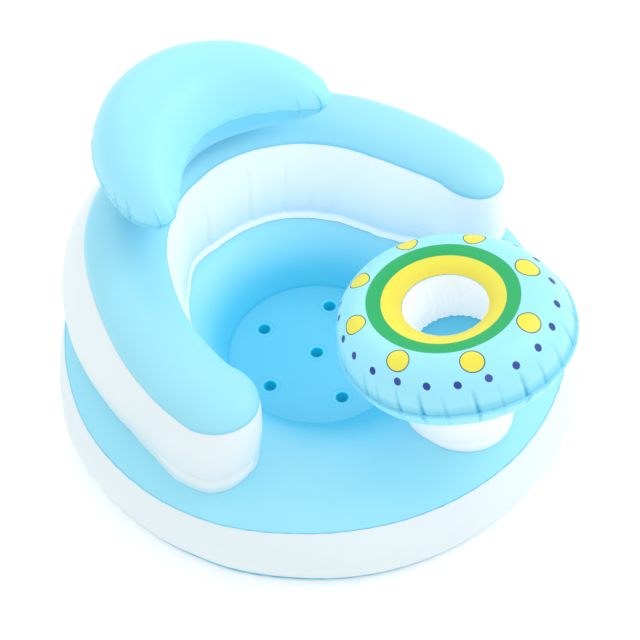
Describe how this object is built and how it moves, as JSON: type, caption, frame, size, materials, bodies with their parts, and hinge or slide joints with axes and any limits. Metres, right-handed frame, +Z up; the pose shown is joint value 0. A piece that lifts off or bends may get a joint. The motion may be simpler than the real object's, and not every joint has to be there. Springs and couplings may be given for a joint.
{
  "type": "inflatable baby seat",
  "caption": "Round inflatable baby seat with a bowl seat, a horseshoe backrest, a crescent headrest, drain holes, and a toy ring with a cup on a post.",
  "frame": {"origin": "centre of the object's box on the floor plane", "axes": "+Z up, the seat faces -Y, and X runs from arm to arm"},
  "size_m": [0.622, 0.6438, 0.3494],
  "materials": {
    "sky_blue_film": "soft glossy vinyl film",
    "mid_blue_film": "soft glossy vinyl film",
    "drain_blue_film": "welded vinyl sleeve",
    "white_film": "satin white vinyl film",
    "printed_film": "blue vinyl film printed with yellow and green rings and dots",
    "clear_vinyl": "moulded clear soft vinyl"
  },
  "bodies": {
    "seat": {"post_top_sheet": "sky_blue_film", "toy_lower_sheet": "sky_blue_film", "toy_cup_wall": "white_film", "toy_cup_floor": "mid_blue_film", "toy_top_sheet": "printed_film", "base_bottom_sheet": "sky_blue_film", "base_side_wall": "white_film", "base_top_sheet": "sky_blue_film", "seat_floor_sheet": "mid_blue_film", "drain_sleeve_1": "drain_blue_film", "drain_sleeve_2": "drain_blue_film", "drain_sleeve_3": "drain_blue_film", "drain_sleeve_4": "drain_blue_film", "drain_sleeve_5": "drain_blue_film", "drain_sleeve_6": "drain_blue_film", "backrest_bottom_sheet": "sky_blue_film", "backrest_side_wall": "white_film", "backrest_top_sheet": "sky_blue_film", "headrest_upper_sheet": "sky_blue_film", "headrest_lower_sheet": "sky_blue_film", "post_side_wall": "white_film", "base_valve_body": "clear_vinyl", "base_valve_flap": "clear_vinyl", "base_valve_tether": "clear_vinyl", "backrest_valve_body": "clear_vinyl", "backrest_valve_flap": "clear_vinyl", "backrest_valve_tether": "clear_vinyl", "headrest_valve_body": "clear_vinyl", "headrest_valve_flap": "clear_vinyl", "headrest_valve_tether": "clear_vinyl", "toy_valve_body": "clear_vinyl", "toy_valve_flap": "clear_vinyl", "toy_valve_tether": "clear_vinyl"},
    "base_plug": {"base_valve_plug": "clear_vinyl"},
    "backrest_plug": {"backrest_valve_plug": "clear_vinyl"},
    "headrest_plug": {"headrest_valve_plug": "clear_vinyl"},
    "toy_plug": {"toy_valve_plug": "clear_vinyl"}
  },
  "joints": [
    {"name": "base_plug_slide", "type": "slide", "parent": "seat", "child": "base_plug", "axis": [0, 1, 0], "range_m": [0, 0.01], "deforming": ["base_valve_tether"]},
    {"name": "backrest_plug_slide", "type": "slide", "parent": "seat", "child": "backrest_plug", "axis": [0.2752, 0.9599, 0.0529], "range_m": [0, 0.01], "deforming": ["backrest_valve_tether"]},
    {"name": "headrest_plug_slide", "type": "slide", "parent": "seat", "child": "headrest_plug", "axis": [0.179, 0.6421, -0.7455], "range_m": [0, 0.01], "deforming": ["headrest_valve_tether"]},
    {"name": "toy_plug_slide", "type": "slide", "parent": "seat", "child": "toy_plug", "axis": [0.3232, 0.3088, -0.8945], "range_m": [0, 0.01], "deforming": ["toy_valve_tether"]}
  ]
}
